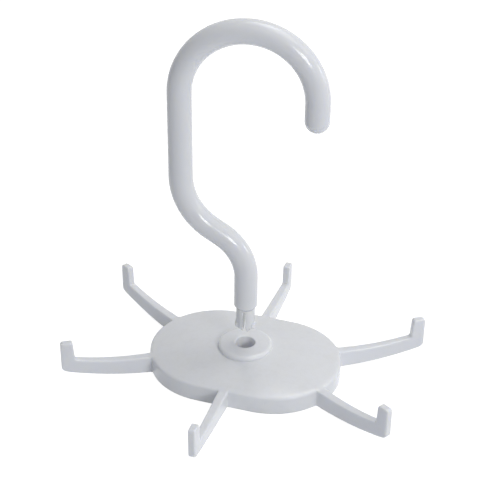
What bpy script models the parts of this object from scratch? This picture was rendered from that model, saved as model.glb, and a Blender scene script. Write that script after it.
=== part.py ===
# Belt hanger: a thick oval plate with six upturned arms, moulded in one and hollow underneath, and a
# large open hook on a split plug that snaps into the boss in the plate's middle and turns there.
# The hook stands drawn out above its hole. Metres, +Z up. The origin is the middle of the plate's
# underside, with X along the oval.

import math

import bmesh
import bpy
from mathutils import Matrix, Vector

# Plate: two half rounds joined by straight sides, with a low crown
PLATE_END_RADIUS = 0.0300
PLATE_STRAIGHT = 0.0250
RIM_HEIGHT = 0.0081
CROWN_RISE = 0.00366
RIM_EDGE_RADIUS = 0.0012
FOOT_CHAMFER = 0.0004
TOP_WALL = 0.0020
SKIRT_WALL = 0.0022
ROOF_CORNER = 0.0010
PLATE_END_STEPS = 20
CROWN_STEPS = 6
ROUND_EDGE_STEPS = 5

# Ribs and hub under the plate
RIB_WALL = 0.0016
RIB_RECESS = 0.0010
HUB_WALL = 0.0018
HUB_RECESS = 0.0016

# Boss in the middle, and its hole
BOSS_RADIUS = 0.0119
BOSS_RISE = 0.0017
BOSS_EDGE_RADIUS = 0.0015
BOSS_ROOT = 0.0006
HOLE_CHAMFER = 0.0005
TURN_STEPS = 40

# Arms
ARM_ANGLE = math.radians(30.5)
END_ARM_LENGTH = 0.0389
SIDE_ARM_LENGTH = 0.0381
ARM_ROOT_WIDTH = 0.0042
ARM_TIP_WIDTH = 0.0031
END_ARM_RISE = 0.0056
SIDE_ARM_RISE = 0.0017
ARM_TIP_HEIGHT = 0.0139
CROOK_HEIGHT = 0.0051
TIP_FOOT_DEPTH = 0.0060
TIP_TOP_DEPTH = 0.0053
ARM_SAG = 0.0006
ELBOW_RADIUS = 0.0018
TIP_TOP_RADIUS = 0.0012
CROOK_RADIUS = 0.0008
ARM_EDGE_RADIUS = 0.0006
ARM_ROOT_DEPTH = 0.0012
ARM_CURVE_STEPS = 7
ARM_CORNER_STEPS = 4

# Hook rod and its bends, all in one upright plane
ROD_RADIUS = 0.0050
BOW_RADIUS = 0.0276
TIP_DROP = 0.0070
STEM_LENGTH = 0.0364
UPPER_BEND_RADIUS = 0.0276
LOWER_BEND_RADIUS = 0.0228
BEND_STRAIGHT = 0.0052
NECK_LENGTH = 0.0137
SHOULDER_CHAMFER = 0.0012
SHOULDER_STEP = 0.0008
HOOK_TURN = math.radians(7.5)
BEND_STEP = math.radians(7.5)
ROD_ROUNDNESS = 7
ROD_TIP_STEPS = 6
ROD_TIP_FLAT = math.radians(8)

# Split plug: a pin that runs in the rod's end, and two prongs with a barb on each
PLUG_RADIUS = 0.0040
PLUG_LENGTH = 0.0120
PLUG_HEAD = 0.0004
PIN_RADIUS = 0.0024
PIN_LENGTH = 0.0080
SLOT_WIDTH = 0.00116
SLOT_MOUTH = 0.0019
BARB_DROP = 0.0072
BARB_REACH = 0.00055
BARB_LAND = 0.0020
BARB_WIDTH = 0.0056
BARB_ROOM = 0.0009
NOSE_RADIUS = 0.0022
NOSE_EDGE = 0.0005
NOSE_STEPS = 3
PLUG_STEPS = 32

# Gaps between pieces, and how far the hook is drawn out of its seat
RUN_CLEARANCE = 0.0003
HOOK_LIFT = 0.0182

MERGE = 0.000001
PAST = 0.0050

HALF_STRAIGHT = PLATE_STRAIGHT / 2
CROWN_TOP = RIM_HEIGHT + CROWN_RISE
BOSS_TOP = CROWN_TOP + BOSS_RISE
SEATED_SHOULDER = BOSS_TOP + RUN_CLEARANCE
SHOULDER = SEATED_SHOULDER + HOOK_LIFT
HOLE_RADIUS = PLUG_RADIUS + RUN_CLEARANCE
LEDGE = SEATED_SHOULDER - BARB_DROP + RUN_CLEARANCE
BARB_ROOM_RADIUS = PLUG_RADIUS + BARB_REACH + BARB_ROOM
HUB_RADIUS = BARB_ROOM_RADIUS + HUB_WALL
PLUG_TOP = SHOULDER - RUN_CLEARANCE
PLUG_END = SHOULDER - PLUG_LENGTH
PIN_TOP = SHOULDER + PIN_LENGTH


def clear_scene():
    for thing in list(bpy.data.objects):
        bpy.data.objects.remove(thing, do_unlink=True)


def make_collection(name):
    collection = bpy.data.collections.new(name)
    bpy.context.scene.collection.children.link(collection)
    return collection


def plastic(name, colour, roughness):
    material = bpy.data.materials.new(name)
    material.use_nodes = True
    shader = material.node_tree.nodes["Principled BSDF"]
    shader.inputs["Base Color"].default_value = (*colour, 1.0)
    shader.inputs["Roughness"].default_value = roughness
    shader.inputs["Metallic"].default_value = 0.0
    return material


def add_object(name, mesh, collection, parent=None):
    thing = bpy.data.objects.new(name, mesh)
    collection.objects.link(thing)
    thing.parent = parent
    return thing


def mark_cutter(thing):
    thing.hide_render = True
    thing.display_type = "WIRE"
    return thing


def mesh_from(bm, name):
    bmesh.ops.recalc_face_normals(bm, faces=bm.faces)
    mesh = bpy.data.meshes.new(name)
    bm.to_mesh(mesh)
    bm.free()
    return mesh


def add_boolean(thing, operation, other):
    modifier = thing.modifiers.new(operation.title() + " " + other.name, "BOOLEAN")
    modifier.operation = operation
    modifier.solver = "EXACT"
    modifier.object = other


def box(name, size, centre, collection, parent=None):
    bm = bmesh.new()
    bmesh.ops.create_cube(bm, size=1.0)
    bmesh.ops.scale(bm, verts=bm.verts, vec=size)
    bmesh.ops.translate(bm, verts=bm.verts, vec=centre)
    return mark_cutter(add_object(name, mesh_from(bm, name), collection, parent))


def turned(name, profile, collection, steps, parent=None, closed=False):
    # A profile at +X turned about Z, given down its outer side from top to bottom. It stands half a
    # step round, so that the crown's middle line meets a face of it and not an edge.
    mesh = bpy.data.meshes.new(name)
    edges = [(i, i + 1) for i in range(len(profile) - 1)]
    if closed:
        edges.append((len(profile) - 1, 0))
    mesh.from_pydata([(radius, 0, height) for radius, height in profile], edges, [])
    thing = add_object(name, mesh, collection, parent)
    screw = thing.modifiers.new("Turn", "SCREW")
    screw.angle = math.tau
    screw.steps = steps
    screw.render_steps = steps
    screw.use_merge_vertices = True
    screw.merge_threshold = MERGE
    screw.use_smooth_shade = True
    thing.rotation_euler = (0, 0, math.pi / steps)
    return thing


def arc(centre, radius, start, end, steps):
    # Points on an arc in a flat drawing, angles in degrees
    points = []
    for i in range(steps + 1):
        angle = math.radians(start + (end - start) * i / steps)
        points.append((centre[0] + radius * math.cos(angle), centre[1] + radius * math.sin(angle)))
    return points


def rounded_corner(before, corner, after, radius, steps):
    # The points that replace a corner of a flat outline by a fillet
    corner = Vector(corner)
    to_before = (Vector(before) - corner).normalized()
    to_after = (Vector(after) - corner).normalized()
    half = to_before.angle(to_after) / 2
    setback = radius / math.tan(half)
    centre = corner + (to_before + to_after).normalized() * (radius / math.sin(half))
    first = corner + to_before * setback - centre
    last = corner + to_after * setback - centre
    turn = first.angle_signed(last)
    points = []
    for i in range(steps + 1):
        step = Matrix.Rotation(-turn * i / steps, 2) @ first
        points.append(tuple(centre + step))
    return points


def crown_height(radius):
    return RIM_HEIGHT + CROWN_RISE * (1 - (radius / PLATE_END_RADIUS) ** 2)


def crown_points(reach, drop):
    # Down the crown from the middle line out, with the points closer together near the rim
    points = []
    for i in range(CROWN_STEPS + 1):
        radius = reach * math.sin(math.pi / 2 * i / CROWN_STEPS)
        points.append((radius, crown_height(radius) - drop))
    return points


def oval_turned(name, profile, collection):
    # A profile of (radius, height), led round the oval: half turn, straight side, half turn, straight side
    bm = bmesh.new()
    verts = [bm.verts.new((HALF_STRAIGHT, -radius, height)) for radius, height in profile]
    edges = [bm.edges.new((verts[i], verts[i + 1])) for i in range(len(verts) - 1)]
    geometry = verts + edges
    for side in (1, -1):
        spun = bmesh.ops.spin(bm, geom=geometry, cent=(side * HALF_STRAIGHT, 0, 0), axis=(0, 0, 1),
                              angle=math.pi, steps=PLATE_END_STEPS, use_duplicate=False)
        last = [item for item in spun["geom_last"] if isinstance(item, bmesh.types.BMEdge)]
        moved = bmesh.ops.extrude_edge_only(bm, edges=last)["geom"]
        geometry = [item for item in moved if not isinstance(item, bmesh.types.BMFace)]
        new_verts = [item for item in moved if isinstance(item, bmesh.types.BMVert)]
        bmesh.ops.translate(bm, verts=new_verts, vec=(-side * PLATE_STRAIGHT, 0, 0))
    bmesh.ops.remove_doubles(bm, verts=bm.verts, dist=MERGE)
    bmesh.ops.dissolve_degenerate(bm, edges=bm.edges, dist=MERGE)
    return add_object(name, mesh_from(bm, name), collection)


def plate_outside():
    # Crown, rounded edge that runs on from it, side, foot, and flat across the underside
    edge_middle = PLATE_END_RADIUS - RIM_EDGE_RADIUS
    slope = math.atan(2 * CROWN_RISE * edge_middle / PLATE_END_RADIUS ** 2)
    crown_end = edge_middle + RIM_EDGE_RADIUS * math.sin(slope)
    edge_height = crown_height(crown_end) - RIM_EDGE_RADIUS * math.cos(slope)
    start = 90 - math.degrees(slope)
    edge = arc((edge_middle, edge_height), RIM_EDGE_RADIUS, start, 0, ROUND_EDGE_STEPS)
    foot = [(PLATE_END_RADIUS, FOOT_CHAMFER), (PLATE_END_RADIUS - FOOT_CHAMFER, 0), (0, 0)]
    return crown_points(crown_end, 0)[:-1] + edge + foot


def plate_inside():
    # The hollow under the crown, run past the foot so that it cuts cleanly
    inner = PLATE_END_RADIUS - SKIRT_WALL
    roof = crown_points(inner - ROOF_CORNER, TOP_WALL)
    corner = (inner, roof[-1][1] - ROOF_CORNER)
    return roof + [corner, (inner, -PAST), (0, -PAST)]


def ribs_shape(collection):
    # Six ribs, each from inside the hub's wall out past the skirt in line with an arm
    root_x = HALF_STRAIGHT + PLATE_END_RADIUS * math.cos(ARM_ANGLE)
    root_y = PLATE_END_RADIUS * math.sin(ARM_ANGLE)
    slant = math.atan2(root_y, root_x)
    start = HUB_RADIUS - HUB_WALL / 2
    length = HALF_STRAIGHT + PLATE_END_RADIUS - start
    height = CROWN_TOP - RIB_RECESS
    together = bmesh.new()
    for angle in (slant, -slant, math.pi - slant, math.pi + slant, math.pi / 2, -math.pi / 2):
        rib = bmesh.ops.create_cube(together, size=1.0)["verts"]
        bmesh.ops.scale(together, verts=rib, vec=(length, RIB_WALL, height))
        bmesh.ops.translate(together, verts=rib, vec=(start + length / 2, 0, RIB_RECESS + height / 2))
        bmesh.ops.rotate(together, verts=rib, cent=(0, 0, 0), matrix=Matrix.Rotation(angle, 3, "Z"))
    return mark_cutter(add_object("ribs_shape", mesh_from(together, "ribs_shape"), collection))


def pocket_shape(collection, hub):
    # The hollow less its ribs and hub
    pocket = mark_cutter(oval_turned("pocket_shape", plate_inside(), collection))
    add_boolean(pocket, "DIFFERENCE", ribs_shape(collection))
    add_boolean(pocket, "DIFFERENCE", hub)
    return pocket


def arm_outline(length, rise):
    # Side view of an arm, as (distance from the round end's middle, height)
    start = PLATE_END_RADIUS - ARM_ROOT_DEPTH
    tip = PLATE_END_RADIUS + length
    elbow = (tip, rise)
    outer_top = (tip, rise + ARM_TIP_HEIGHT)
    inner_top = (tip - TIP_TOP_DEPTH, rise + ARM_TIP_HEIGHT)
    crook = (tip - TIP_FOOT_DEPTH, rise + CROOK_HEIGHT)
    under = []
    over = []
    for i in range(ARM_CURVE_STEPS + 1):
        part = i / ARM_CURVE_STEPS
        under.append((start + (tip - start) * part, rise * part ** 2))
        sag = ARM_SAG * 4 * part * (1 - part)
        height = RIM_HEIGHT + (crook[1] - RIM_HEIGHT) * part ** 2 - sag
        over.append((start + (crook[0] - start) * part, height))
    outline = under[:-1]
    outline += rounded_corner(under[-2], elbow, outer_top, ELBOW_RADIUS, ARM_CORNER_STEPS)
    outline += rounded_corner(elbow, outer_top, inner_top, TIP_TOP_RADIUS, ARM_CORNER_STEPS)
    outline += rounded_corner(outer_top, inner_top, crook, TIP_TOP_RADIUS, ARM_CORNER_STEPS)
    outline += rounded_corner(inner_top, crook, over[-2], CROOK_RADIUS, ARM_CORNER_STEPS - 1)
    outline += over[:-1][::-1]
    return outline


def flat_piece(name, outline, thickness):
    # A filled outline of some thickness that stands in the XZ plane
    curve = bpy.data.curves.new(name, "CURVE")
    curve.dimensions = "2D"
    curve.fill_mode = "BOTH"
    curve.extrude = thickness / 2
    spline = curve.splines.new("POLY")
    spline.points.add(len(outline) - 1)
    for point, (along, height) in zip(spline.points, outline):
        point.co = (along, height, 0, 1)
    spline.use_cyclic_u = True
    bm = mesh_of_curve(curve)
    bmesh.ops.rotate(bm, verts=bm.verts, cent=(0, 0, 0), matrix=Matrix.Rotation(math.pi / 2, 3, "X"))
    return bm


def mesh_of_curve(curve):
    # The curve as a closed mesh, with its loose caps welded on
    thing = bpy.data.objects.new(curve.name, curve)
    bpy.context.scene.collection.objects.link(thing)
    bpy.context.view_layer.update()
    evaluated = thing.evaluated_get(bpy.context.evaluated_depsgraph_get())
    mesh = bpy.data.meshes.new_from_object(evaluated)
    bpy.data.objects.remove(thing, do_unlink=True)
    bm = bmesh.new()
    bm.from_mesh(mesh)
    bpy.data.meshes.remove(mesh)
    bmesh.ops.remove_doubles(bm, verts=bm.verts, dist=MERGE)
    return bm


def arm_mesh(length, rise):
    # The side faces' edges are rounded, and then the arm is drawn in towards its tip
    bm = flat_piece("arm", arm_outline(length, rise), ARM_ROOT_WIDTH)
    bmesh.ops.dissolve_limit(bm, angle_limit=math.radians(0.5), verts=bm.verts, edges=bm.edges)
    rims = [edge for edge in bm.edges if any(abs(face.normal.y) > 0.9 for face in edge.link_faces)]
    bmesh.ops.bevel(bm, geom=rims, offset=ARM_EDGE_RADIUS, offset_type="OFFSET", segments=2, profile=0.5,
                    affect="EDGES", clamp_overlap=True)
    for vert in bm.verts:
        part = (vert.co.x - PLATE_END_RADIUS) / length
        vert.co.y *= 1 + (ARM_TIP_WIDTH / ARM_ROOT_WIDTH - 1) * part
    return bm


def arms_shape(collection):
    # All six arms as one shape: two at each end, and one on the middle of each straight side
    end_arm = (END_ARM_LENGTH, END_ARM_RISE)
    side_arm = (SIDE_ARM_LENGTH, SIDE_ARM_RISE)
    places = [
        (ARM_ANGLE, HALF_STRAIGHT, end_arm),
        (-ARM_ANGLE, HALF_STRAIGHT, end_arm),
        (math.pi - ARM_ANGLE, -HALF_STRAIGHT, end_arm),
        (math.pi + ARM_ANGLE, -HALF_STRAIGHT, end_arm),
        (math.pi / 2, 0, side_arm),
        (-math.pi / 2, 0, side_arm),
    ]
    together = bmesh.new()
    for angle, middle, (length, rise) in places:
        bm = arm_mesh(length, rise)
        bmesh.ops.rotate(bm, verts=bm.verts, cent=(0, 0, 0), matrix=Matrix.Rotation(angle, 3, "Z"))
        bmesh.ops.translate(bm, verts=bm.verts, vec=(middle, 0, 0))
        arm = mesh_from(bm, "arm")
        together.from_mesh(arm)
        bpy.data.meshes.remove(arm)
    return mark_cutter(add_object("arms_shape", mesh_from(together, "arms_shape"), collection))


def hub_shape(collection):
    # The boss on top of the plate and the sleeve under it, before the hole is cut
    middle = (BOSS_RADIUS - BOSS_EDGE_RADIUS, BOSS_TOP - BOSS_EDGE_RADIUS)
    boss_foot = crown_height(BOSS_RADIUS) - BOSS_ROOT
    profile = [(0, BOSS_TOP)]
    profile += arc(middle, BOSS_EDGE_RADIUS, 90, 0, ROUND_EDGE_STEPS)
    profile += [(BOSS_RADIUS, boss_foot), (HUB_RADIUS, boss_foot), (HUB_RADIUS, HUB_RECESS), (0, HUB_RECESS)]
    return mark_cutter(turned("hub_shape", profile, collection, TURN_STEPS))


def hole_shape(collection):
    # Chamfered at the top, the plug's bore down to the ledge, and room for the barbs below it
    spread = HOLE_CHAMFER + PAST
    profile = [
        (0, BOSS_TOP + PAST),
        (HOLE_RADIUS + spread, BOSS_TOP + PAST),
        (HOLE_RADIUS, BOSS_TOP - HOLE_CHAMFER),
        (HOLE_RADIUS, LEDGE),
        (BARB_ROOM_RADIUS, LEDGE),
        (BARB_ROOM_RADIUS, -PAST),
        (0, -PAST),
    ]
    return mark_cutter(turned("hole_shape", profile, collection, TURN_STEPS))


def build_plate(parts, cutters):
    plate = oval_turned("arm_plate", plate_outside(), parts)
    plate.data.materials.append(plastic("plate_plastic", (0.80, 0.81, 0.83), 0.28))
    plate.data.shade_smooth()
    plate.data.set_sharp_from_angle(angle=math.radians(35))
    hub = hub_shape(cutters)
    add_boolean(plate, "UNION", arms_shape(cutters))
    add_boolean(plate, "UNION", hub)
    add_boolean(plate, "DIFFERENCE", pocket_shape(cutters, hub))
    add_boolean(plate, "DIFFERENCE", hole_shape(cutters))
    return plate


def hook_path():
    # The rod's middle line from its free tip to the shoulder, as (sideways, height, share of the radius)
    bends = UPPER_BEND_RADIUS + LOWER_BEND_RADIUS
    slant = math.acos((bends - BOW_RADIUS) / math.hypot(bends, BEND_STRAIGHT))
    slant -= math.atan2(BEND_STRAIGHT, bends)
    neck_top = SHOULDER + SHOULDER_CHAMFER + NECK_LENGTH
    lower_end = neck_top + LOWER_BEND_RADIUS * math.sin(slant)
    upper_start = lower_end + BEND_STRAIGHT * math.cos(slant)
    stem_foot = upper_start + UPPER_BEND_RADIUS * math.sin(slant)
    bow = stem_foot + STEM_LENGTH
    path = []
    for i in range(ROD_TIP_STEPS + 1):
        swing = ROD_TIP_FLAT + (math.pi / 2 - ROD_TIP_FLAT) * i / ROD_TIP_STEPS
        path.append((BOW_RADIUS, bow - TIP_DROP - ROD_RADIUS * math.cos(swing), math.sin(swing)))
    steps = math.ceil(math.pi / BEND_STEP)
    for i in range(steps + 1):
        angle = math.pi * i / steps
        path.append((BOW_RADIUS * math.cos(angle), bow + BOW_RADIUS * math.sin(angle), 1))
    steps = math.ceil(slant / BEND_STEP)
    for i in range(steps + 1):
        angle = slant * i / steps
        sideways = -BOW_RADIUS + UPPER_BEND_RADIUS * (1 - math.cos(angle))
        path.append((sideways, stem_foot - UPPER_BEND_RADIUS * math.sin(angle), 1))
    for i in range(steps + 1):
        angle = slant * (1 - i / steps)
        sideways = -LOWER_BEND_RADIUS * (1 - math.cos(angle))
        path.append((sideways, neck_top + LOWER_BEND_RADIUS * math.sin(angle), 1))
    path.append((0, SHOULDER + SHOULDER_CHAMFER, 1))
    path.append((0, SHOULDER, 1 - SHOULDER_STEP / ROD_RADIUS))
    return path


def build_hook(parts, cutters, axis):
    curve = bpy.data.curves.new("hook", "CURVE")
    curve.dimensions = "3D"
    curve.bevel_depth = ROD_RADIUS
    curve.bevel_resolution = ROD_ROUNDNESS
    curve.use_fill_caps = True
    path = hook_path()
    spline = curve.splines.new("POLY")
    spline.points.add(len(path) - 1)
    for point, (sideways, height, share) in zip(spline.points, path):
        point.co = (sideways, 0, height, 1)
        point.radius = share
    mesh = mesh_from(mesh_of_curve(curve), "hook")
    mesh.materials.append(plastic("hook_plastic", (0.80, 0.81, 0.83), 0.22))
    mesh.shade_smooth()
    mesh.set_sharp_from_angle(angle=math.radians(40))
    hook = add_object("hook", mesh, parts, axis)
    pin_hole = PIN_RADIUS + RUN_CLEARANCE
    hole_top = PIN_TOP + RUN_CLEARANCE
    profile = [(0, hole_top), (pin_hole, hole_top), (pin_hole, SHOULDER - PAST), (0, SHOULDER - PAST)]
    add_boolean(hook, "DIFFERENCE", mark_cutter(turned("pin_hole_shape", profile, cutters, PLUG_STEPS, axis)))
    return hook


def barb_shape(cutters, axis):
    # A ring round the prongs, kept only where it faces the hook's two sides
    top = SHOULDER - BARB_DROP
    outside = PLUG_RADIUS + BARB_REACH
    inside = PLUG_RADIUS / 2
    foot = top - BARB_LAND
    profile = [(inside, top), (outside - BARB_REACH / 3, top), (outside, top - BARB_REACH), (outside, foot),
               (PLUG_RADIUS - BARB_REACH, foot - BARB_REACH), (inside, foot - BARB_REACH)]
    barbs = mark_cutter(turned("barb_shape", profile, cutters, PLUG_STEPS, axis, closed=True))
    keep = box("barb_limit_shape", (4 * outside, BARB_WIDTH, PLUG_LENGTH), (0, 0, top), cutters, axis)
    add_boolean(barbs, "INTERSECT", keep)
    return barbs


def slot_shape(cutters, axis):
    # Through both sides across the hook's plane, wider at the prongs' ends
    high = PLUG_TOP - PLUG_HEAD
    low = PLUG_END - PAST
    slot = box("slot_shape", (1, 4 * PLUG_RADIUS, high - low), (0, 0, (low + high) / 2), cutters, axis)
    spread = (SLOT_MOUTH - SLOT_WIDTH) / (high - PLUG_END)
    for vert in slot.data.vertices:
        width = SLOT_WIDTH + spread * (high - vert.co.z)
        vert.co.x = math.copysign(width / 2, vert.co.x)
    return slot


def build_plug(parts, cutters, axis):
    barb_foot = SHOULDER - BARB_DROP - BARB_LAND
    profile = [(0, PIN_TOP), (PIN_RADIUS, PIN_TOP), (PIN_RADIUS, PLUG_TOP), (PLUG_RADIUS, PLUG_TOP)]
    profile += [(PLUG_RADIUS, barb_foot)]
    profile += arc((NOSE_RADIUS - NOSE_EDGE, PLUG_END + NOSE_EDGE), NOSE_EDGE, 0, -90, NOSE_STEPS)
    profile += [(0, PLUG_END)]
    plug = turned("split_plug", profile, parts, PLUG_STEPS, axis)
    plug.data.materials.append(plastic("plug_plastic", (0.80, 0.81, 0.83), 0.25))
    add_boolean(plug, "UNION", barb_shape(cutters, axis))
    add_boolean(plug, "DIFFERENCE", slot_shape(cutters, axis))
    return plug


def add_axis(name, turn, collection, parent=None):
    # An empty on the hub's axis that carries a moving piece
    empty = bpy.data.objects.new(name, None)
    empty.empty_display_size = 0.01
    collection.objects.link(empty)
    empty.rotation_euler = (0, 0, turn)
    empty.parent = parent
    return empty


def main():
    clear_scene()
    parts = make_collection("belt_hanger")
    cutters = make_collection("cutters")
    build_plate(parts, cutters)
    plug_axis = add_axis("plug_axis", HOOK_TURN, parts)
    swivel_axis = add_axis("swivel_axis", 0, parts, plug_axis)
    build_plug(parts, cutters, plug_axis)
    build_hook(parts, cutters, swivel_axis)


main()
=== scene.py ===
# Belt hanger in white moulded plastic: an oval plate with six upturned arms, and an open hook on a split
# plug, drawn out above the hole that it snaps into. Metres, +Z up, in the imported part's own frame.

import math

import bmesh
import bpy
from mathutils import Matrix, Vector


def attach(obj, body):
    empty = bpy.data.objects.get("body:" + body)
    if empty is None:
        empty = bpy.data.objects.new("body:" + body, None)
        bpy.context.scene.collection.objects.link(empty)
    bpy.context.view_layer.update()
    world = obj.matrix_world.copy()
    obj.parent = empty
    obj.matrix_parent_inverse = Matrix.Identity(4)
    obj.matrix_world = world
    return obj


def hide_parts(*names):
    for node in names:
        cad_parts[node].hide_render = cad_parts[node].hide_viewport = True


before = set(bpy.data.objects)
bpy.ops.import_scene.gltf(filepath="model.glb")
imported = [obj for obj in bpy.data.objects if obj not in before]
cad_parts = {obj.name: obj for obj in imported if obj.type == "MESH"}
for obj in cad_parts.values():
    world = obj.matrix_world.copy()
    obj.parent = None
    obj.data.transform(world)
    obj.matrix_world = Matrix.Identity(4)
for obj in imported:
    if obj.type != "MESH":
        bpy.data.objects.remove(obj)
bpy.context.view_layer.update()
print("frame loaded:", ", ".join(sorted(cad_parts)))

tiny = 0.00005  # slack when something is picked by its place
weld = 0.000002  # points closer than this are one
beyond = 0.004  # how far a cutter stands out past what it cuts
wide = 0.02  # a cutter's size where it only has to be large
upright = 0.5  # a face stands up when its normal's z is under this
facesDown = -0.9  # a face looks down when its normal's z is under this


# Working by hand, in code


def startFresh():
    if bpy.context.object and bpy.context.object.mode != "OBJECT":
        bpy.ops.object.mode_set(mode="OBJECT")
    bpy.ops.object.select_all(action="DESELECT")


def workOn(thing):
    startFresh()
    thing.select_set(True)
    bpy.context.view_layer.objects.active = thing


def pickIn(thing, kind, wanted):
    # In edit mode: only the edges or faces that pass the test
    bpy.ops.mesh.select_mode(type=kind)
    bpy.ops.mesh.select_all(action="DESELECT")
    data = bmesh.from_edit_mesh(thing.data)
    for item in data.edges if kind == "EDGE" else data.faces:
        if wanted(item):
            item.select = True
    data.select_flush_mode()
    bmesh.update_edit_mesh(thing.data)


def drawProfile(name, points):
    # A small plane merged to one point, drawn on along the profile
    startFresh()
    bpy.ops.mesh.primitive_plane_add(size=0.001, location=(0, 0, 0))
    thing = bpy.context.object
    thing.name = name
    bpy.ops.object.mode_set(mode="EDIT")
    bpy.ops.mesh.select_mode(type="VERT")
    bpy.ops.mesh.select_all(action="SELECT")
    bpy.ops.mesh.merge(type="CENTER")
    bpy.ops.transform.translate(value=points[0])
    for before, after in zip(points, points[1:]):
        bpy.ops.mesh.extrude_vertices_move(TRANSFORM_OT_translate={"value": Vector(after) - Vector(before)})
    bpy.ops.mesh.select_all(action="SELECT")
    return thing


def spinOn(angle, steps, centre=(0, 0, 0), axis=(0, 0, 1)):
    # Counterclockwise about the axis; the operator itself turns the other way
    bpy.ops.mesh.spin(steps=steps, angle=-angle, center=centre, axis=axis)


def closeMesh():
    bpy.ops.mesh.select_all(action="SELECT")
    bpy.ops.mesh.remove_doubles(threshold=weld)
    bpy.ops.mesh.normals_make_consistent(inside=False)
    bpy.ops.object.mode_set(mode="OBJECT")


def applyModifier(thing, kind, **settings):
    workOn(thing)
    modifier = thing.modifiers.new(kind.title(), kind)
    for setting, value in settings.items():
        setattr(modifier, setting, value)
    bpy.ops.object.modifier_apply(modifier=modifier.name)


def combine(thing, other, operation):
    applyModifier(thing, "BOOLEAN", operation=operation, solver="EXACT", object=other)
    bpy.data.objects.remove(other, do_unlink=True)


def turnedShape(name, profile, steps):
    # A profile of (radius, height) led once round Z, closed at both ends on the axis
    thing = drawProfile(name, [(radius, 0, height) for radius, height in profile])
    spinOn(math.tau, steps)
    closeMesh()
    return thing


def roundCorner(centre, radius, start, end, steps):
    angles = [math.radians(start + (end - start) * i / steps) for i in range(steps + 1)]
    return [(centre[0] + radius * math.cos(a), centre[1] + radius * math.sin(a)) for a in angles]


def smoothOut(thing, angle):
    workOn(thing)
    bpy.ops.object.shade_smooth_by_angle(angle=math.radians(angle))


# Plate and arms, one moulding

plateSize = {
    "endRadius": 0.0300,
    "halfStraight": 0.0125,
    "rimHeight": 0.0081,
    "crownRise": 0.00366,
    "smoothLevels": 2,
    "smoothAngle": 32,
    "crownRings": [0, 0.0035, 0.0075, 0.0115, 0.0155, 0.0195, 0.0230, 0.0258, 0.0279],
    "wallRows": [0.0081, 0.0066, 0.0040, 0.00105, 0],  # heights, from the rim down
    "skirtWall": 0.0022,
    "topWall": 0.0020,
    "insideRows": [0, 0.0009, 0.0032, 0.0054],  # heights, up the skirt's inside
    "footOuter": 0.0008,
    "footInner": 0.0007,
    "roofCorner": 0.0013,
    "sideStop": 0.6,  # share of half the straight side at which it gets a column
    "coarseSteps": 9,
}
armSize = {
    "endAngle": math.radians(30.5),
    "endLength": 0.0389,
    "sideLength": 0.0381,
    "endRise": 0.0056,
    "sideRise": 0.0017,
    "columns": [0.0030, 0.0021, 0.0011],  # half widths at the root: fillet, side, rounding
    "tipWidthShare": 0.738,  # of the width at the root
    "wallSlack": 0.0003,
    "rootStep": 0.0009,
    "stations": [0.09, 0.21, 0.34, 0.48, 0.62, 0.76, 0.88],
    "crookAhead": 0.0013,
    "tipFootDepth": 0.0060,
    "tipTopDepth": 0.0053,
    "tipMiddle": [0.0019, 0.0037],
    "crookHeight": 0.0051,
    "tipRows": [0, 0.0016, 0.0029, 0.0040, 0.0051],
    "upSteps": [0.0012, 0.0040, 0.0067, 0.0088],  # above the crook
    "sag": 0.0006,
    "rootDip": 0.00022,
    "elbowCut": 0.0004,
    "startsAt": 0.0288,
}


def crownHeight(radius):
    return plateSize["rimHeight"] + plateSize["crownRise"] * (1 - (radius / plateSize["endRadius"]) ** 2)


def plateProfile():
    outer = plateSize["endRadius"]
    inner = outer - plateSize["skirtWall"]
    under = plateSize["topWall"]
    points = [(radius, crownHeight(radius)) for radius in plateSize["crownRings"]]
    points += [(outer, height) for height in plateSize["wallRows"]]
    points += [(outer - plateSize["footOuter"], 0), (inner + plateSize["footInner"], 0)]
    points += [(inner, height) for height in plateSize["insideRows"]]
    roof = [inner, inner - plateSize["roofCorner"]] + plateSize["crownRings"][-3::-1]
    points += [(radius, crownHeight(radius) - under) for radius in roof]
    return points


def armColumns():
    # Angles from an arm's middle to its columns on the round end, outermost first
    return [math.asin(half / plateSize["endRadius"]) for half in armSize["columns"]]


def spinHalf(centre):
    # Half a turn, with close columns where the two arms grow from the wall
    fillet, side, rounding = armColumns()
    across = [fillet - side, side - rounding, rounding, rounding, side - rounding, fillet - side]
    outside = math.pi / 2 - armSize["endAngle"] - fillet
    for coarse in (outside, 2 * (armSize["endAngle"] - fillet)):
        spinOn(coarse, plateSize["coarseSteps"], centre)
        for turn in across:
            spinOn(turn, 1, centre)
    spinOn(outside, plateSize["coarseSteps"], centre)


def extendSide(direction):
    # Along a straight side, with close columns where its arm grows
    half = plateSize["halfStraight"]
    fillet, side, rounding = armSize["columns"]
    near = half * plateSize["sideStop"]
    stops = [half, near, fillet, side, rounding, 0, -rounding, -side, -fillet, -near, -half]
    for before, after in zip(stops, stops[1:]):
        step = (direction * (before - after), 0, 0)
        bpy.ops.mesh.extrude_edges_move(TRANSFORM_OT_translate={"value": step})


def plateCage():
    half = plateSize["halfStraight"]
    profile = [(half, -radius, height) for radius, height in plateProfile()]
    plate = drawProfile("armPlate", profile)
    spinHalf((half, 0, 0))
    extendSide(-1)
    spinHalf((-half, 0, 0))
    extendSide(1)
    closeMesh()
    return plate


def armPlaces():
    half, angle = plateSize["halfStraight"], armSize["endAngle"]
    end = {"length": armSize["endLength"], "rise": armSize["endRise"]}
    side = {"length": armSize["sideLength"], "rise": armSize["sideRise"]}
    places = [dict(end, middle=half, angle=angle), dict(end, middle=half, angle=-angle)]
    places += [dict(end, middle=-half, angle=math.pi - angle), dict(end, middle=-half, angle=math.pi + angle)]
    places += [dict(side, middle=0, angle=math.pi / 2), dict(side, middle=0, angle=-math.pi / 2)]
    return places


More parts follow.
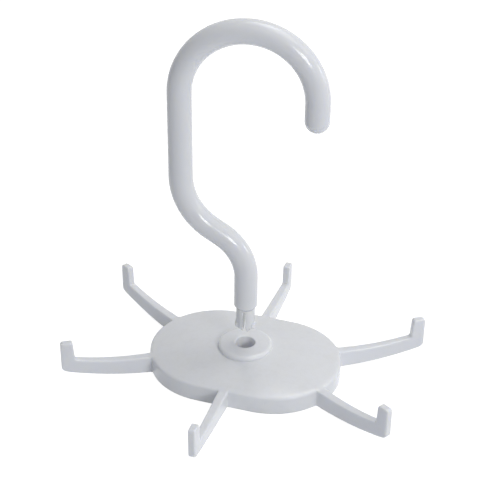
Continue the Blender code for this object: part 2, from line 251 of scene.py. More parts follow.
def armStops(arm):
    # Distances from the round end's middle at which the arm gets a ring
    root = plateSize["endRadius"]
    tip = root + arm["length"]
    crook = tip - armSize["tipFootDepth"]
    stops = [root + armSize["rootStep"]]
    stops += [root + (crook - root) * share for share in armSize["stations"]]
    stops += [crook - armSize["crookAhead"], crook]
    stops += [crook + middle for middle in armSize["tipMiddle"]]
    return stops + [tip]


def growArm(plate, arm):
    # Pulled out of the plate's wall ring by ring, then turned up at its end
    place = Matrix.Translation((arm["middle"], 0, 0)) @ Matrix.Rotation(arm["angle"], 4, "Z")
    local = place.inverted()
    outward = (place.to_3x3() @ Vector((1, 0, 0))).normalized()
    root = plateSize["endRadius"]
    rim = plateSize["rimHeight"]
    halfWidth = armSize["columns"][1]

    def onWall(face):
        spots = [local @ vert.co for vert in face.verts]
        return abs(face.normal.z) < upright and all(
            abs(spot.y) < halfWidth + tiny and spot.x > root - armSize["wallSlack"]
            and -tiny < spot.z < rim + tiny for spot in spots)

    pickIn(plate, "FACE", onWall)
    before = root
    for stop in armStops(arm):
        bpy.ops.mesh.extrude_region_move(TRANSFORM_OT_translate={"value": outward * (stop - before)})
        before = stop
        data = bmesh.from_edit_mesh(plate.data)
        for vert in data.verts:
            if vert.select:  # the wall is round, and the arm's rings are flat
                vert.co += outward * (stop - (local @ vert.co).x)
        bmesh.update_edit_mesh(plate.data)
    tip = before
    crook = tip - armSize["tipFootDepth"]

    def onTipTop(face):
        spots = [local @ vert.co for vert in face.verts]
        return all(spot.x > crook - tiny and abs(spot.y) < halfWidth + tiny and spot.z > rim - tiny
                   for spot in spots)

    pickIn(plate, "FACE", onTipTop)
    below = 0
    for above in armSize["upSteps"]:
        bpy.ops.mesh.extrude_region_move(TRANSFORM_OT_translate={"value": (0, 0, above - below)})
        below = above
    curveArm(plate, arm, place)


def curveArm(plate, arm, place):
    # The straight arm is given its rise, sag, taper and slanted tip
    local = place.inverted()
    root = plateSize["endRadius"]
    rim = plateSize["rimHeight"]
    rows = plateSize["wallRows"][::-1]
    start = armSize["startsAt"]
    tip = root + arm["length"]
    crook = tip - armSize["tipFootDepth"]
    crookHeight = arm["rise"] + armSize["crookHeight"]
    slant = armSize["tipFootDepth"] - armSize["tipTopDepth"]
    data = bmesh.from_edit_mesh(plate.data)
    for vert in data.verts:
        along, aside, height = local @ vert.co
        if along < root + armSize["rootStep"] / 2 or abs(aside) > armSize["columns"][1] + tiny:
            continue
        out = min(1, (along - start) / (crook - start))
        under = arm["rise"] * ((along - start) / (tip - start)) ** 2
        over = rim + (crookHeight - rim) * out ** 2 - armSize["sag"] * 4 * out * (1 - out)
        if along < root + armSize["rootStep"] + tiny:
            over -= armSize["rootDip"]
        extra = height - rim
        taper = max(0, (along - root) / (tip - root))
        if extra > tiny:
            lift = crookHeight + extra
            if along < crook + tiny:
                along += slant * extra / armSize["upSteps"][-1]
        else:
            row = min(range(len(rows)), key=lambda i: abs(rows[i] - height))
            share = rows[row] / rim * (1 - out) + armSize["tipRows"][row] / armSize["crookHeight"] * out
            lift = under + (over - under) * share
            if row == 0 and along > tip - tiny:
                along -= armSize["elbowCut"]
                lift += armSize["elbowCut"]
        aside *= 1 + (armSize["tipWidthShare"] - 1) * taper
        vert.co = place @ Vector((along, aside, lift))
    bmesh.update_edit_mesh(plate.data)


hubSize = {
    "bossRadius": 0.0119,
    "bossRise": 0.0017,
    "bossRound": 0.0015,
    "bossRoot": 0.0006,
    "holeRadius": 0.0043,
    "holeRound": 0.0005,
    "ledge": 0.00686,
    "barbRoom": 0.00545,
    "sleeveRadius": 0.00725,
    "sleeveRecess": 0.0016,
    "ribWall": 0.0016,
    "ribRecess": 0.0010,
    "ribRound": 0.0003,
    "ribOverlap": 0.0009,
    "sleeveEdge": 0.0003,
    "steps": 144,
    "bossSteps": 10,
    "holeSteps": 6,
    "ribSegments": 3,
    "trimRings": 12,
    "trimSteps": 48,
}


def makeHub():
    # Boss above the plate and sleeve below it, before the hole is cut
    boss = crownHeight(0) + hubSize["bossRise"]
    radius, bend = hubSize["bossRadius"], hubSize["bossRound"]
    foot = crownHeight(radius) - hubSize["bossRoot"]
    sleeve, recess = hubSize["sleeveRadius"], hubSize["sleeveRecess"]
    profile = [(0, boss), (radius / 2, boss)]
    profile += roundCorner((radius - bend, boss - bend), bend, 90, 0, hubSize["bossSteps"])
    edge = hubSize["sleeveEdge"]
    profile += [(radius, foot), (sleeve, foot), (sleeve, recess + edge), (sleeve - edge, recess), (0, recess)]
    return turnedShape("hub", profile, hubSize["steps"])


def makeHole():
    boss = crownHeight(0) + hubSize["bossRise"]
    bore, bend, room = hubSize["holeRadius"], hubSize["holeRound"], hubSize["barbRoom"]
    profile = [(0, boss + beyond), (bore + bend, boss + beyond)]
    profile += roundCorner((bore + bend, boss - bend), bend, 90, 180, hubSize["holeSteps"])
    profile += [(bore, hubSize["ledge"]), (room, hubSize["ledge"]), (room, -beyond), (0, -beyond)]
    return turnedShape("hole", profile, hubSize["steps"])


def makeRib(length, angle, start):
    # One rib with its foot edges rounded, from inside the sleeve to inside the skirt
    top = crownHeight(0)
    foot = hubSize["ribRecess"]
    startFresh()
    bpy.ops.mesh.primitive_cube_add(size=1, location=(start + length / 2, 0, (top + foot) / 2),
                                    scale=(length, hubSize["ribWall"], top - foot))
    rib = bpy.context.object
    rib.name = "rib"
    bpy.ops.object.transform_apply(location=True, rotation=True, scale=True)
    bpy.ops.object.mode_set(mode="EDIT")
    pickIn(rib, "EDGE", lambda edge: all(vert.co.z < foot + tiny for vert in edge.verts)
           and abs(edge.verts[0].co.y - edge.verts[1].co.y) < tiny)
    bpy.ops.mesh.bevel(offset=hubSize["ribRound"], segments=hubSize["ribSegments"], affect="EDGES")
    bpy.ops.object.mode_set(mode="OBJECT")
    rib.rotation_euler = (0, 0, angle)
    bpy.ops.object.transform_apply(location=True, rotation=True, scale=True)
    return rib


def trimRibs(ribs):
    # The ribs are cut to the hollow's shape, half a wall larger, so that they end inside the plate's walls
    inner = plateSize["endRadius"] - plateSize["skirtWall"] / 2
    cover = plateSize["topWall"] / 2
    rings = [inner * i / hubSize["trimRings"] for i in range(hubSize["trimRings"] + 1)]
    half = plateSize["halfStraight"]
    points = [(half, -radius, crownHeight(radius) - cover) for radius in rings]
    points += [(half, -inner, -beyond), (half, 0, -beyond)]
    core = drawProfile("core", points)
    spinOn(math.pi, hubSize["trimSteps"], (half, 0, 0))
    bpy.ops.mesh.extrude_edges_move(TRANSFORM_OT_translate={"value": (-2 * half, 0, 0)})
    spinOn(math.pi, hubSize["trimSteps"], (-half, 0, 0))
    bpy.ops.mesh.extrude_edges_move(TRANSFORM_OT_translate={"value": (2 * half, 0, 0)})
    closeMesh()
    combine(ribs, core, "INTERSECT")


def ribSlant():
    # The end ribs point from the hub to where the end arms leave the wall
    root = Vector((plateSize["halfStraight"] + plateSize["endRadius"] * math.cos(armSize["endAngle"]),
                   plateSize["endRadius"] * math.sin(armSize["endAngle"])))
    return math.atan2(root.y, root.x)


def makeRibs():
    slant = ribSlant()
    start = hubSize["sleeveRadius"] - hubSize["ribOverlap"]
    length = plateSize["halfStraight"] + plateSize["endRadius"] - start
    ribs = makeRib(length, slant, start)
    for angle in (-slant, math.pi - slant, math.pi + slant, math.pi / 2, -math.pi / 2):
        rib = makeRib(length, angle, start)
        workOn(ribs)
        rib.select_set(True)
        bpy.ops.object.join()
    trimRibs(ribs)
    return ribs


gateSize = {
    "outward": (0.0050, -0.02962),  # its direction from the middle of the right round end
    "height": 0.0053,
    "across": 0.00034,
    "high": 0.0008,
    "proud": 0.00010,
}


def makeGateMark():
    # A small raised spot on the front wall, taken for the scar of the moulding's runner
    facing = math.atan2(gateSize["outward"][1], gateSize["outward"][0])
    outward = Vector((math.cos(facing), math.sin(facing), 0))
    startFresh()
    bpy.ops.mesh.primitive_uv_sphere_add(segments=24, ring_count=16, radius=1, location=(0, 0, 0))
    mark = bpy.context.object
    mark.name = "gateMark"
    mark.scale = (gateSize["proud"] * 3, gateSize["across"], gateSize["high"])
    mark.rotation_euler = (0, 0, facing)
    inset = gateSize["proud"] * 2  # so that one third of its half depth stands out
    mark.location = Vector((plateSize["halfStraight"], 0, gateSize["height"])) \
        + outward * (plateSize["endRadius"] - inset)
    bpy.ops.object.transform_apply(location=True, rotation=True, scale=True)
    return mark


def makePlate():
    plate = plateCage()
    workOn(plate)
    bpy.ops.object.mode_set(mode="EDIT")
    for arm in armPlaces():
        growArm(plate, arm)
    bpy.ops.mesh.select_all(action="SELECT")
    bpy.ops.mesh.normals_make_consistent(inside=False)
    bpy.ops.object.mode_set(mode="OBJECT")
    applyModifier(plate, "SUBSURF", levels=plateSize["smoothLevels"])
    print("plate and arms:", len(plate.data.polygons), "faces")
    hub = makeHub()
    combine(hub, makeRibs(), "UNION")
    combine(plate, hub, "UNION")
    combine(plate, makeGateMark(), "UNION")
    combine(plate, makeHole(), "DIFFERENCE")
    smoothOut(plate, plateSize["smoothAngle"])
    print("plate with hub, ribs and hole:", len(plate.data.polygons), "faces")
    return plate


# Hook

hookSize = {
    "rodRadius": 0.0050,
    "bowRadius": 0.0276,
    "tipDrop": 0.0070,
    "stemLength": 0.0364,
    "upperBend": 0.0276,
    "lowerBend": 0.0228,
    "bendStraight": 0.0052,
    "neckLength": 0.0137,
    "neckRings": [0.0004, 0.0035, 0.0045],  # lengths, from the shoulder up
    "shoulderChamfer": 0.0012,
    "shoulderStep": 0.0008,
    "shoulder": 0.03196,
    "pinHole": 0.0027,
    "pinDepth": 0.0083,
    "turn": math.radians(7.5),
    "roundness": 64,
    "lowerSteps": 26,
    "upperSteps": 28,
    "bowSteps": 84,
    "domeSteps": 14,
    "stemPieces": 6,
    "dropPieces": 3,
    "smoothAngle": 30,
}


def makeHook():
    # A ring at the shoulder, led up the neck, through both bends, up the stem and round the bow
    rod = hookSize["rodRadius"]
    chamferTop = hookSize["shoulder"] + hookSize["shoulderChamfer"]
    neckTop = chamferTop + hookSize["neckLength"]
    bends = hookSize["upperBend"] + hookSize["lowerBend"]
    reach = math.acos((bends - hookSize["bowRadius"]) / math.hypot(bends, hookSize["bendStraight"]))
    slant = reach - math.atan2(hookSize["bendStraight"], bends)
    startFresh()
    bpy.ops.mesh.primitive_circle_add(vertices=hookSize["roundness"], radius=rod - hookSize["shoulderStep"],
                                      location=(0, 0, hookSize["shoulder"]))
    hook = bpy.context.object
    hook.name = "hookRod"
    bpy.ops.object.transform_apply(location=True, rotation=True, scale=True)
    bpy.ops.object.mode_set(mode="EDIT")
    bpy.ops.mesh.select_mode(type="EDGE")
    bpy.ops.mesh.select_all(action="SELECT")

    def pull(move, grow=1):
        bpy.ops.mesh.extrude_edges_move(TRANSFORM_OT_translate={"value": move})
        if grow != 1:
            data = bmesh.from_edit_mesh(hook.data)
            ring = [vert for vert in data.verts if vert.select]
            middle = sum((vert.co for vert in ring), Vector()) / len(ring)
            bpy.ops.transform.resize(value=(grow, grow, grow), center_override=middle)

    pull((0, 0, hookSize["shoulderChamfer"]), rod / (rod - hookSize["shoulderStep"]))
    for step in hookSize["neckRings"]:
        pull((0, 0, step))
    pull((0, 0, hookSize["neckLength"] - sum(hookSize["neckRings"])))
    lower = Vector((-hookSize["lowerBend"], 0, neckTop))
    spinOn(-slant, hookSize["lowerSteps"], lower, (0, 1, 0))
    lean = Vector((-math.sin(slant), 0, math.cos(slant)))
    sideways = Vector((math.cos(slant), 0, math.sin(slant)))
    pull(lean * hookSize["bendStraight"])
    upperStart = lower + sideways * hookSize["lowerBend"] + lean * hookSize["bendStraight"]
    upper = upperStart + sideways * hookSize["upperBend"]
    spinOn(slant, hookSize["upperSteps"], upper, (0, 1, 0))
    for count in range(hookSize["stemPieces"]):
        pull((0, 0, hookSize["stemLength"] / hookSize["stemPieces"]))
    bow = (upper.x - hookSize["upperBend"] + hookSize["bowRadius"], 0, upper.z + hookSize["stemLength"])
    spinOn(math.pi, hookSize["bowSteps"], bow, (0, 1, 0))
    for count in range(hookSize["dropPieces"]):
        pull((0, 0, -hookSize["tipDrop"] / hookSize["dropPieces"]))
    domeSteps = hookSize["domeSteps"]
    for count in range(domeSteps - 1):
        here, there = (math.pi / 2 * (count + i) / domeSteps for i in (0, 1))
        pull((0, 0, rod * (math.sin(here) - math.sin(there))), math.cos(there) / math.cos(here))
    bpy.ops.mesh.edge_face_add()
    bpy.ops.mesh.poke()
    shoulder = hookSize["shoulder"]
    pickIn(hook, "EDGE", lambda edge: all(abs(vert.co.z - shoulder) < tiny for vert in edge.verts))
    pull((0, 0, 0), hookSize["pinHole"] / (rod - hookSize["shoulderStep"]))
    pull((0, 0, hookSize["pinDepth"]))
    bpy.ops.mesh.edge_face_add()
    closeMesh()
    hook.rotation_euler = (0, 0, hookSize["turn"])
    workOn(hook)
    bpy.ops.object.transform_apply(location=True, rotation=True, scale=True)
    smoothOut(hook, hookSize["smoothAngle"])
    print("hook:", len(hook.data.polygons), "faces")
    return hook


# Split plug

plugSize = {
    "radius": 0.0040,
    "length": 0.0120,
    "head": 0.0004,
    "pinRadius": 0.0024,
    "pinLength": 0.0080,
    "gap": 0.0003,
    "slotWidth": 0.00116,
    "slotMouth": 0.0019,
    "barbDrop": 0.0072,
    "barbReach": 0.00055,
    "barbLand": 0.0020,
    "barbWidth": 0.0056,
    "noseRadius": 0.0022,
    "noseRound": 0.0005,
    "softEdge": 0.00018,
    "softSegments": 3,
    "softAngle": 40,
    "smoothAngle": 35,
    "slotRound": 0.45,  # share of the slot's width
    "slotSegments": 6,
    "noseSteps": 6,
    "steps": 96,
}


def makeBox(name, size, centre):
    startFresh()
    bpy.ops.mesh.primitive_cube_add(size=1, location=centre, scale=size)
    bpy.context.object.name = name
    bpy.ops.object.transform_apply(location=True, rotation=True, scale=True)
    return bpy.context.object


def makeBarbs():
    # A ring round the prongs, kept only at the hook's two sides
    top = hookSize["shoulder"] - plugSize["barbDrop"]
    outside = plugSize["radius"] + plugSize["barbReach"]
    reach = plugSize["barbReach"]
    foot = top - plugSize["barbLand"]
    profile = [(0, top), (outside - reach / 3, top), (outside, top - reach), (outside, foot),
               (plugSize["radius"] - reach, foot - reach), (0, foot - reach)]
    barbs = turnedShape("barbs", profile, plugSize["steps"])
    combine(barbs, makeBox("keep", (wide, plugSize["barbWidth"], wide), (0, 0, top)), "INTERSECT")
    return barbs


def makeSlot():
    high = hookSize["shoulder"] - plugSize["gap"] - plugSize["head"]
    low = hookSize["shoulder"] - plugSize["length"] - beyond
    slot = makeBox("slot", (plugSize["slotWidth"], wide, high - low), (0, 0, (high + low) / 2))
    spread = (plugSize["slotMouth"] - plugSize["slotWidth"]) / (plugSize["length"] - plugSize["gap"])
    workOn(slot)
    bpy.ops.object.mode_set(mode="EDIT")
    pickIn(slot, "FACE", lambda face: face.normal.z < facesDown)
    wider = 1 + spread * (high - low) / plugSize["slotWidth"]
    bpy.ops.transform.resize(value=(wider, 1, 1), center_override=(0, 0, low))
    pickIn(slot, "EDGE", lambda edge: all(vert.co.z > high - tiny for vert in edge.verts)
           and abs(edge.verts[0].co.x - edge.verts[1].co.x) < tiny)
    bpy.ops.mesh.bevel(offset=plugSize["slotWidth"] * plugSize["slotRound"],
                       segments=plugSize["slotSegments"], affect="EDGES")
    bpy.ops.object.mode_set(mode="OBJECT")
    return slot


def makePlug():
    shoulder = hookSize["shoulder"]
    top = shoulder - plugSize["gap"]
    end = shoulder - plugSize["length"]
    barbFoot = shoulder - plugSize["barbDrop"] - plugSize["barbLand"]
    nose, bend = plugSize["noseRadius"], plugSize["noseRound"]
    pinTop = shoulder + plugSize["pinLength"]
    profile = [(0, pinTop), (plugSize["pinRadius"], pinTop), (plugSize["pinRadius"], top)]
    profile += [(plugSize["radius"], top), (plugSize["radius"], barbFoot)]
    profile += roundCorner((nose - bend, end + bend), bend, 0, -90, plugSize["noseSteps"])
    profile += [(0, end)]
    plug = turnedShape("splitPlug", profile, plugSize["steps"])
    combine(plug, makeBarbs(), "UNION")
    combine(plug, makeSlot(), "DIFFERENCE")
    applyModifier(plug, "BEVEL", width=plugSize["softEdge"], segments=plugSize["softSegments"],
                  limit_method="ANGLE", angle_limit=math.radians(plugSize["softAngle"]),
                  use_clamp_overlap=True)
    plug.rotation_euler = (0, 0, hookSize["turn"])
    workOn(plug)
    bpy.ops.object.transform_apply(location=True, rotation=True, scale=True)
    smoothOut(plug, plugSize["smoothAngle"])
    print("split plug:", len(plug.data.polygons), "faces")
    return plug


# Finishes


def newGroup(name, inputs, outputs):
    # A shader node group with its sockets, ready for its nodes
    group = bpy.data.node_groups.new(name, "ShaderNodeTree")
    for socket, kind, value in inputs:
        made = group.interface.new_socket(socket, in_out="INPUT", socket_type=kind)
        if value is not None:
            made.default_value = value
    for socket, kind in outputs:
        group.interface.new_socket(socket, in_out="OUTPUT", socket_type=kind)
    return group, group.nodes.new("NodeGroupInput"), group.nodes.new("NodeGroupOutput")


def addNode(tree, kind, links=(), **settings):
    # A node with its settings, and links as (input, output socket or value)
    node = tree.nodes.new(kind)
    for setting, value in settings.items():
        setattr(node, setting, value)
    for socket, source in links:
        if isinstance(source, bpy.types.NodeSocket):
            tree.links.new(source, node.inputs[socket])
        else:
            node.inputs[socket].default_value = source
    return node


def mathNode(tree, operation, first, second=0.0, clamp=False):
    links = [(0, first), (1, second)]
    return addNode(tree, "ShaderNodeMath", links, operation=operation, use_clamp=clamp).outputs[0]


def noiseNode(tree, place, scale, detail, rough):
    links = [("Vector", place), ("Scale", scale), ("Detail", detail), ("Roughness", rough)]
    return addNode(tree, "ShaderNodeTexNoise", links).outputs[0]


def mapNode(tree, value, span, result=(0.0, 1.0), **settings):
    links = [("Value", value), ("From Min", span[0]), ("From Max", span[1]),
             ("To Min", result[0]), ("To Max", result[1])]
    return addNode(tree, "ShaderNodeMapRange", links, **settings).outputs[0]


def partsOf(tree, vector):
    return addNode(tree, "ShaderNodeSeparateXYZ", [(0, vector)]).outputs


markLook = {
    # noises as scale, detail and roughness
    "waveDetail": (1.5, 0.4),
    "grainDetail": (2.0, 0.6),
    "patchNoise": (90.0, 3.0, 0.6),
    "patchSpan": (0.52, 0.72),
    "patchShare": 0.6,
    "hairTurn": (0.3, 0.2, 0.7),
    "hairScale": (260.0, 3800.0, 3800.0),
    "hairNoise": (1.0, 1.0, 0.5),
    "hairSpan": (0.66, 0.74),
    "speckNoise": (420.0, 4.0, 0.7),
    "speckSpan": (0.45, 0.8),
    "upSpan": (0.2, 1.0),
}


def makeRipple():
    # Slow waves, as shrinking plastic has them, and a fine grain
    group, given, result = newGroup("mouldSkin", [
        ("Place", "NodeSocketVector", None), ("Wave scale", "NodeSocketFloat", 60.0),
        ("Wave depth", "NodeSocketFloat", 1.0), ("Grain scale", "NodeSocketFloat", 2500.0),
        ("Grain depth", "NodeSocketFloat", 0.02)],
        [("Height", "NodeSocketFloat"), ("Wave", "NodeSocketFloat")])
    place = given.outputs["Place"]
    wave = noiseNode(group, place, given.outputs["Wave scale"], *markLook["waveDetail"])
    grain = noiseNode(group, place, given.outputs["Grain scale"], *markLook["grainDetail"])
    high = mathNode(group, "MULTIPLY", wave, given.outputs["Wave depth"])
    fine = mathNode(group, "MULTIPLY", grain, given.outputs["Grain depth"])
    group.links.new(mathNode(group, "ADD", high, fine), result.inputs["Height"])
    group.links.new(wave, result.inputs["Wave"])
    return group


def makeScuffs():
    # Faint rubbed patches with hair scratches, as a mask
    group, given, result = newGroup("handlingMarks", [
        ("Place", "NodeSocketVector", None), ("Amount", "NodeSocketFloat", 0.5)],
        [("Mask", "NodeSocketFloat")])
    place = given.outputs["Place"]
    patch = mapNode(group, noiseNode(group, place, *markLook["patchNoise"]), markLook["patchSpan"],
                    interpolation_type="SMOOTHSTEP")
    stretched = addNode(group, "ShaderNodeMapping", [
        ("Vector", place), ("Rotation", markLook["hairTurn"]), ("Scale", markLook["hairScale"])]).outputs[0]
    hair = mapNode(group, noiseNode(group, stretched, *markLook["hairNoise"]), markLook["hairSpan"])
    both = mathNode(group, "MAXIMUM", mathNode(group, "MULTIPLY", patch, markLook["patchShare"]),
                    mathNode(group, "MULTIPLY", hair, patch))
    mask = mathNode(group, "MULTIPLY", both, given.outputs["Amount"], clamp=True)
    group.links.new(mask, result.inputs["Mask"])
    return group


def makeDust():
    # A trace of dust on what faces up, in patches
    group, given, result = newGroup("settledDust", [
        ("Place", "NodeSocketVector", None), ("Amount", "NodeSocketFloat", 0.3)],
        [("Mask", "NodeSocketFloat")])
    facing = partsOf(group, addNode(group, "ShaderNodeNewGeometry").outputs["Normal"])[2]
    up = mapNode(group, facing, markLook["upSpan"])
    specks = noiseNode(group, given.outputs["Place"], *markLook["speckNoise"])
    cover = mapNode(group, specks, markLook["speckSpan"])
    mask = mathNode(group, "MULTIPLY", mathNode(group, "MULTIPLY", up, cover), given.outputs["Amount"],
                    clamp=True)
    group.links.new(mask, result.inputs["Mask"])
    return group


def makeSinkMarks():
    # Shallow valleys in the crown over the ribs, by distance in plan
    group, given, result = newGroup("sinkMarks", [
        ("Place", "NodeSocketVector", None), ("Rib angle", "NodeSocketFloat", 0.377),
        ("Width", "NodeSocketFloat", 0.0022)], [("Height", "NodeSocketFloat")])
    parts = partsOf(group, given.outputs["Place"])
    east = mathNode(group, "ABSOLUTE", parts[0])
    north = mathNode(group, "ABSOLUTE", parts[1])
    sine = mathNode(group, "SINE", given.outputs["Rib angle"])
    cosine = mathNode(group, "COSINE", given.outputs["Rib angle"])
    offSlant = mathNode(group, "SUBTRACT", mathNode(group, "MULTIPLY", north, cosine),
                        mathNode(group, "MULTIPLY", east, sine))
    nearest = mathNode(group, "MINIMUM", mathNode(group, "ABSOLUTE", offSlant), east)
    share = mathNode(group, "DIVIDE", nearest, given.outputs["Width"])
    square = mathNode(group, "MULTIPLY", share, share)
    bell = mathNode(group, "EXPONENT", mathNode(group, "MULTIPLY", square, -1.0))
    group.links.new(mathNode(group, "MULTIPLY", bell, -1.0), result.inputs["Height"])
    return group


def makeMouldLine():
    # A hair-thin ridge, as two mould halves leave one, in an upright plane through the axis
    group, given, result = newGroup("mouldLine", [
        ("Place", "NodeSocketVector", None), ("Turn", "NodeSocketFloat", 0.0),
        ("Width", "NodeSocketFloat", 0.00016)], [("Height", "NodeSocketFloat")])
    parts = partsOf(group, given.outputs["Place"])
    sine = mathNode(group, "SINE", given.outputs["Turn"])
    cosine = mathNode(group, "COSINE", given.outputs["Turn"])
    across = mathNode(group, "SUBTRACT", mathNode(group, "MULTIPLY", parts[1], cosine),
                      mathNode(group, "MULTIPLY", parts[0], sine))
    share = mathNode(group, "DIVIDE", mathNode(group, "ABSOLUTE", across), given.outputs["Width"])
    group.links.new(mathNode(group, "SUBTRACT", 1.0, share, clamp=True), result.inputs["Height"])
    return group


effects = {"skin": makeRipple(), "scuffs": makeScuffs(), "dust": makeDust(), "sinks": makeSinkMarks(),
           "line": makeMouldLine()}


def useEffect(tree, name, place, values):
    node = addNode(tree, "ShaderNodeGroup", [], node_tree=effects[name])
    tree.links.new(place, node.inputs["Place"])
    for socket, value in values.items():
        node.inputs[socket].default_value = value
    return node.outputs


plasticLook = {
    "colour": (0.806, 0.818, 0.846),
    "scuffed": (0.750, 0.762, 0.790),
    "dusty": (0.71, 0.705, 0.695),
    # painted light: the lighter, bluer colour given to the hole's wall
    "paintedBoreLightColour": (0.93, 0.94, 0.985),
    "paintedLightEdge": (0.0049, 0.0045),  # distances from the axis at which the mask is 0 and 1
    "paintedLightTop": (0.0131, 0.0122),  # heights at which the mask is 0 and 1
    "scuffs": 0.5,
    "dust": 0.25,
    "waveGloss": 0.35,
    "rough": (0.15, 0.26),
    "throughLight": 0.55,
    "throughDepth": (0.0016, 0.0017, 0.0021),
    "bumpDistance": 0.00012,
    "ior": 1.49,
}


def paintedBoreLightMask(tree, place):
    # 1 on the hole's wall, where light is painted in as a lighter, bluer colour: the photograph shows the
    # wall lighter than the lamps make it here.
    # The colour is fitted, and the cause isn't known.
    parts = partsOf(tree, place)
    flat = addNode(tree, "ShaderNodeCombineXYZ", [(0, parts[0]), (1, parts[1])]).outputs[0]
    away = addNode(tree, "ShaderNodeVectorMath", [(0, flat)], operation="LENGTH").outputs["Value"]
    return mathNode(tree, "MULTIPLY", mapNode(tree, away, plasticLook["paintedLightEdge"]),
                    mapNode(tree, parts[2], plasticLook["paintedLightTop"]))


def mixColour(tree, share, first, second):
    links = [(0, share), (6, first), (7, (*second, 1))]  # 6, 7 and 2 are its colour sockets
    return addNode(tree, "ShaderNodeMix", links, data_type="RGBA").outputs[2]


def makePlastic(name, heights, waves, tone=1.0, bore=False):
    # White gloss plastic: colour, gloss and relief all vary a little over the surface; with bore, light is
    # painted onto the hole's wall.
    # heights lists effects with their depths and values, and waves is the waves' scale and depth.
    material = bpy.data.materials.new(name)
    material.use_nodes = True
    tree = material.node_tree
    shader = tree.nodes["Principled BSDF"]
    place = addNode(tree, "ShaderNodeTexCoord").outputs["Object"]
    skin = useEffect(tree, "skin", place, {"Wave scale": waves[0], "Wave depth": waves[1]})
    scuffs = useEffect(tree, "scuffs", place, {"Amount": plasticLook["scuffs"]})["Mask"]
    dust = useEffect(tree, "dust", place, {"Amount": plasticLook["dust"]})["Mask"]
    clean = (*[part * tone for part in plasticLook["colour"]], 1)
    colour = mixColour(tree, scuffs, clean, plasticLook["scuffed"])
    colour = mixColour(tree, dust, colour, plasticLook["dusty"])
    # painted light on the hole's wall, as a lighter, bluer colour
    if bore:
        colour = mixColour(tree, paintedBoreLightMask(tree, place), colour, plasticLook["paintedBoreLightColour"])
    tree.links.new(colour, shader.inputs["Base Color"])
    uneven = mathNode(tree, "ADD", scuffs, mathNode(tree, "MULTIPLY", skin["Wave"], plasticLook["waveGloss"]))
    tree.links.new(mapNode(tree, uneven, (0.0, 1.0), plasticLook["rough"]), shader.inputs["Roughness"])
    height = skin["Height"]
    for effect, depth, values in heights:
        mark = useEffect(tree, effect, place, values)["Height"]
        height = mathNode(tree, "ADD", height, mathNode(tree, "MULTIPLY", mark, depth))
    bump = addNode(tree, "ShaderNodeBump", [("Height", height), ("Distance", plasticLook["bumpDistance"]),
                                            ("Strength", 1.0)])
    tree.links.new(bump.outputs["Normal"], shader.inputs["Normal"])
    shader.inputs["IOR"].default_value = plasticLook["ior"]
    shader.inputs["Subsurface Weight"].default_value = plasticLook["throughLight"]
    shader.inputs["Subsurface Radius"].default_value = plasticLook["throughDepth"]
    shader.inputs["Subsurface Scale"].default_value = 1.0
    return material


def dress(piece, body, node, material):
    piece.data.materials.clear()
    piece.data.materials.append(material)
    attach(piece, body)
    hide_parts(node)


armPlate = makePlate()
hookRod = makeHook()
splitPlug = makePlug()

# the plate's material has light painted onto the hole's wall (bore=True)
dress(armPlate, "plate", "arm_plate",
      makePlastic("platePlastic", [("sinks", 0.5, {"Rib angle": ribSlant()})],
                  waves=(42.0, 3.0), tone=1.015, bore=True))
dress(hookRod, "hook", "hook",
      makePlastic("hookPlastic", [("line", 0.25, {"Turn": hookSize["turn"]})],
                  waves=(70.0, 0.6), tone=0.965))
dress(splitPlug, "plug", "split_plug", makePlastic("plugPlastic", [], waves=(120.0, 0.5)))
print("finishes done")


# Floor, light and camera

studio = {
    "floorSize": 3.0,
    "floorDrop": 0.00005,  # keeps the floor off the plate's foot
    "floorColour": (0.74, 0.755, 0.79),
    "floorShown": 0.90,
    "floorShade": 0.36,
    "ambient": (0.275, 0.281, 0.290),
    "aim": (0, 0, 0.06),
    "cameraPlace": (0.13781, -0.42939, 0.32499),
    "cameraTurns": [(18.131, "Z"), (60.009, "X"), (0.469, "Z")],
    "lens": 93.85,
    "sensor": 36.0,
    "lamps": [
        # name, azimuth from the front towards +X, elevation, distance, width, height, watts
        ("keyLamp", 50, 24, 0.90, 0.29, 0.26, 2.5),
        ("rightLamp", 114, 12, 0.90, 0.14, 0.20, 0.55),
        ("topRightLamp", 122, 68, 1.00, 0.85, 0.60, 2.35),
        ("topBackLamp", 168, 74, 1.00, 0.50, 0.46, 1.6),
        ("backLeftLamp", -140, 45, 1.00, 0.60, 0.60, 0.2),
    ],
}


def lightPathSeen(tree):
    # 1 where the camera, a reflection or a clear material looks at it
    path = addNode(tree, "ShaderNodeLightPath")
    direct = mathNode(tree, "MAXIMUM", path.outputs["Is Camera Ray"], path.outputs["Is Glossy Ray"])
    return mathNode(tree, "MAXIMUM", direct, path.outputs["Is Transmission Ray"])


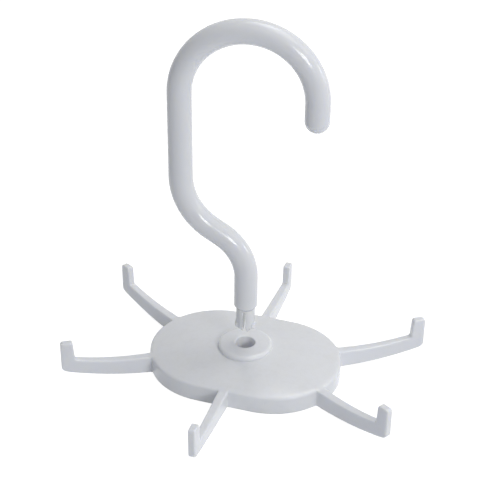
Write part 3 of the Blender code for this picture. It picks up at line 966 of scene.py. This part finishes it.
def makeFloor():
    startFresh()
    bpy.ops.mesh.primitive_plane_add(size=studio["floorSize"], location=(0, 0, -studio["floorDrop"]))
    floor = bpy.context.object
    floor.name = "floor"
    material = bpy.data.materials.new("paper")
    material.use_nodes = True
    tree = material.node_tree
    tree.nodes.clear()
    seen = lightPathSeen(tree)
    plain = addNode(tree, "ShaderNodeBsdfDiffuse", [("Color", (*studio["floorColour"], 1))])
    shade = addNode(tree, "ShaderNodeBsdfDiffuse", [("Color", (*[studio["floorShade"]] * 3, 1))])
    glow = addNode(tree, "ShaderNodeEmission", [("Strength", studio["floorShown"])])
    shown = addNode(tree, "ShaderNodeAddShader", [(0, shade.outputs[0]), (1, glow.outputs[0])])
    mixed = addNode(tree, "ShaderNodeMixShader", [(0, seen), (1, plain.outputs[0]), (2, shown.outputs[0])])
    addNode(tree, "ShaderNodeOutputMaterial", [("Surface", mixed.outputs[0])])
    floor.data.materials.append(material)


def makeWorld():
    world = bpy.data.worlds.new("studio")
    bpy.context.scene.world = world
    world.use_nodes = True
    tree = world.node_tree
    tree.nodes.clear()
    seen = lightPathSeen(tree)
    soft = addNode(tree, "ShaderNodeBackground", [("Color", (*studio["ambient"], 1)), ("Strength", 1.0)])
    white = addNode(tree, "ShaderNodeBackground", [("Color", (1, 1, 1, 1)), ("Strength", 1.0)])
    mixed = addNode(tree, "ShaderNodeMixShader", [(0, seen), (1, soft.outputs[0]), (2, white.outputs[0])])
    addNode(tree, "ShaderNodeOutputWorld", [("Surface", mixed.outputs[0])])


def makeLamps():
    for name, azimuth, elevation, distance, width, height, watts in studio["lamps"]:
        lamp = bpy.data.lights.new(name, "AREA")
        lamp.shape = "RECTANGLE"
        lamp.size = width
        lamp.size_y = height
        lamp.energy = watts
        thing = bpy.data.objects.new(name, lamp)
        bpy.context.scene.collection.objects.link(thing)
        a, e = math.radians(azimuth), math.radians(elevation)
        away = Vector((math.sin(a) * math.cos(e), -math.cos(a) * math.cos(e), math.sin(e)))
        thing.location = Vector(studio["aim"]) + away * distance
        thing.rotation_euler = away.to_track_quat("Z", "Y").to_euler()


def makeCamera():
    # Fitted to the photograph's outline of the plate, the arms and the hook
    camera = bpy.data.cameras.new("camera")
    camera.lens = studio["lens"]
    camera.sensor_width = studio["sensor"]
    camera.clip_start = 0.01
    thing = bpy.data.objects.new("camera", camera)
    bpy.context.scene.collection.objects.link(thing)
    place = Matrix.Translation(studio["cameraPlace"])
    for turn, axis in studio["cameraTurns"]:
        place = place @ Matrix.Rotation(math.radians(turn), 4, axis)
    thing.matrix_world = place
    bpy.context.scene.camera = thing


makeFloor()
makeWorld()
makeLamps()
makeCamera()
bpy.context.scene.view_settings.view_transform = "Standard"
print("stage, lamps and camera set")
